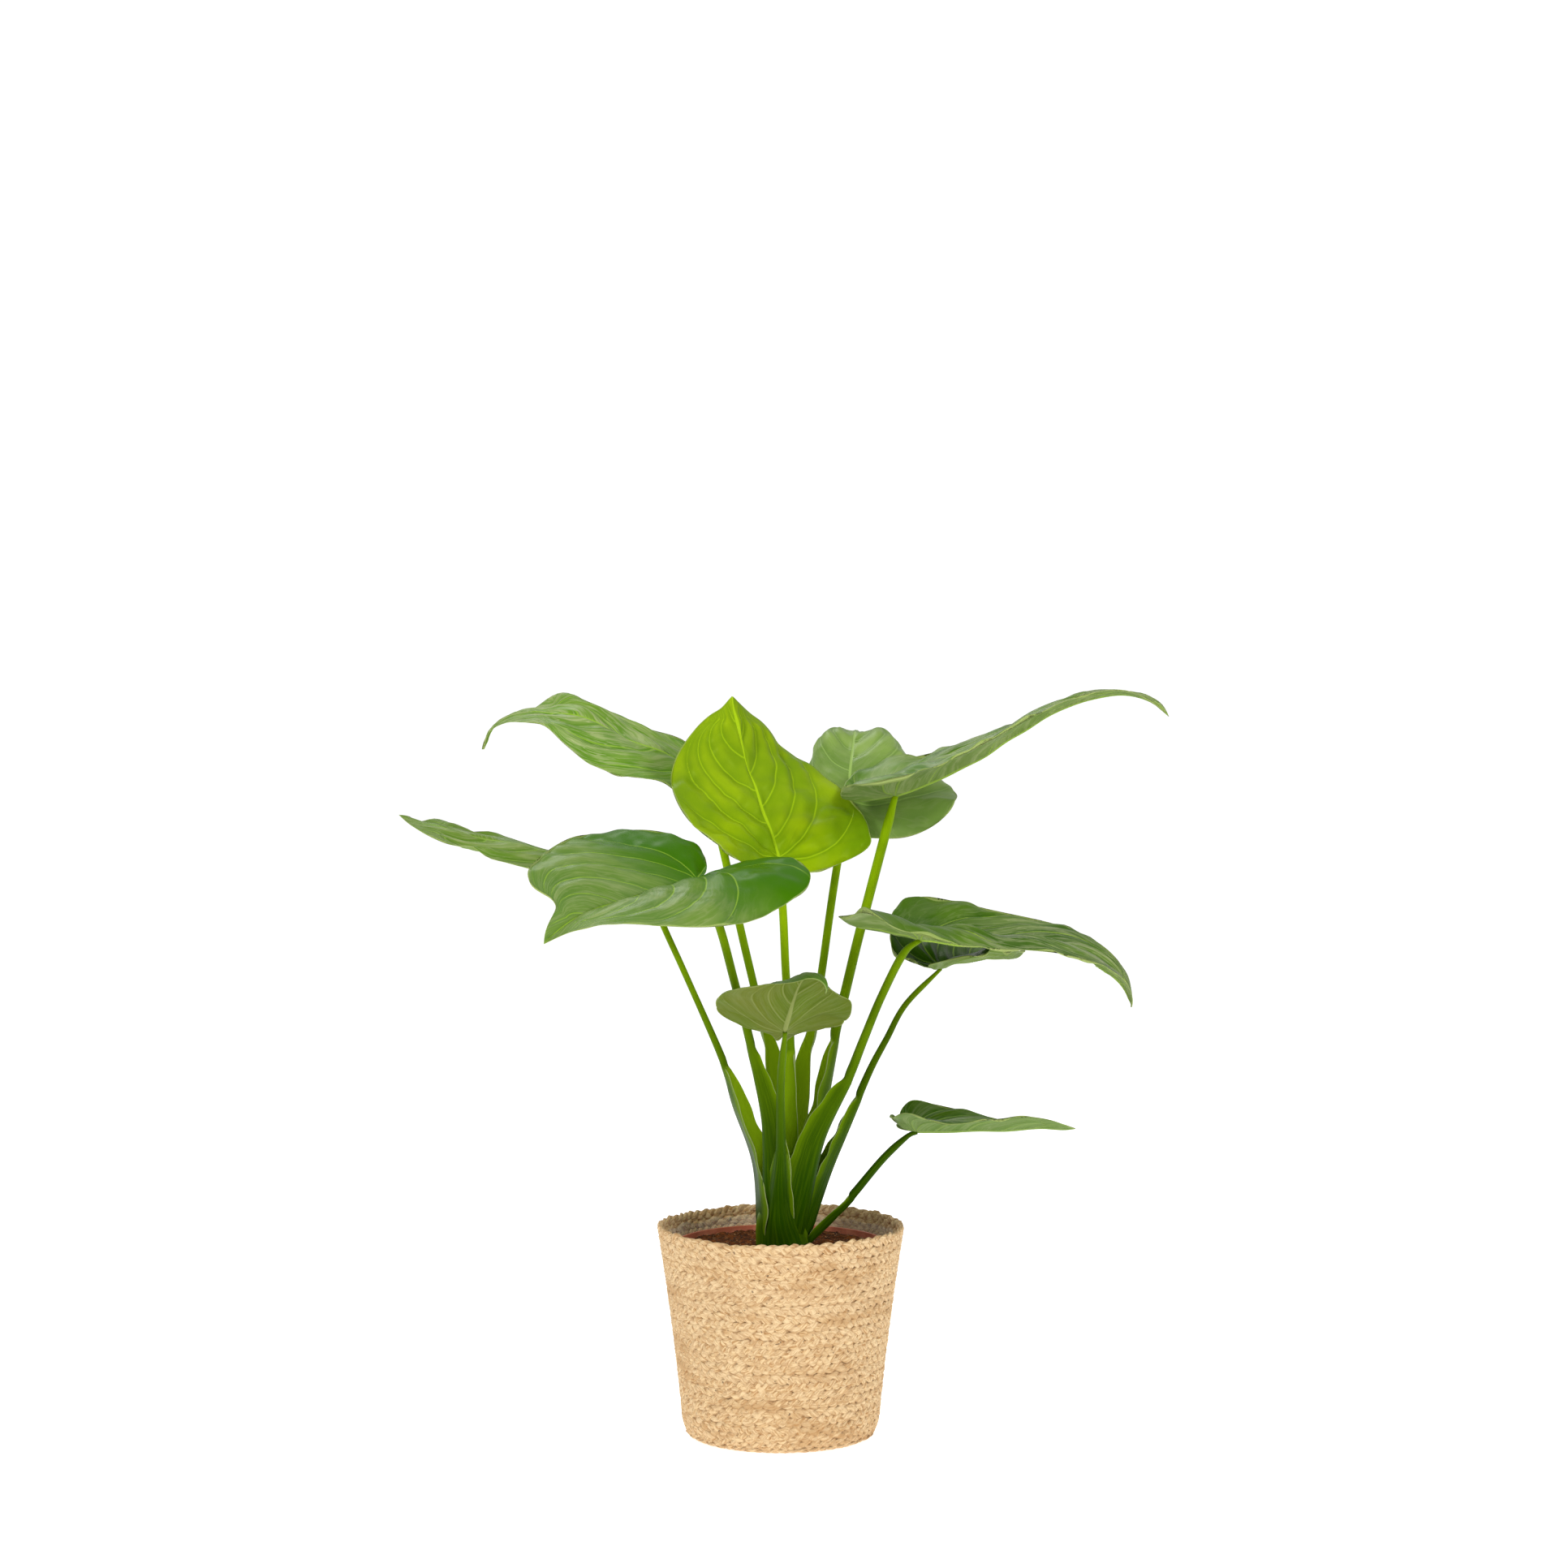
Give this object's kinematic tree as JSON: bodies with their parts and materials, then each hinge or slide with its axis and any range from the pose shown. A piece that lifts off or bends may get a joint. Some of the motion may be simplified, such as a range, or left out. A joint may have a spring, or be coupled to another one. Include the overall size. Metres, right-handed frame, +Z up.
{
  "type": "potted chinese taro plant",
  "caption": "Chinese taro plant with long-stalked heart-shaped leaves in a nursery pot, standing in a lined braided-rope basket; it stands on its own flat base.",
  "frame": {"origin": "centre of the basket's underside", "axes": "+Z up; -Y is the front, the side that the picture shows; +X to the picture's right"},
  "size_m": [0.7466, 0.5683, 0.7345],
  "materials": {
    "rope": "matte plaited natural fibre",
    "film": "thin clear crinkled film",
    "pot_plastic": "satin red-brown plastic",
    "soil": null,
    "stalk_green": "smooth waxy green stalk",
    "leaf_green": "waxy green leaf with paler veins",
    "young_leaf_green": "waxy yellow-green new leaf"
  },
  "bodies": {
    "root": {"basket": "rope", "liner": "film", "nursery_pot": "pot_plastic", "soil": "soil", "stalks": "stalk_green", "blade_upper_left": "leaf_green", "blade_lower_left": "leaf_green", "blade_front_left": "leaf_green", "blade_young": "young_leaf_green", "blade_back": "leaf_green", "blade_upper_right": "leaf_green", "blade_right": "leaf_green", "blade_right_back": "leaf_green", "blade_front_small": "leaf_green", "blade_low_small": "leaf_green"}
  },
  "joints": []
}
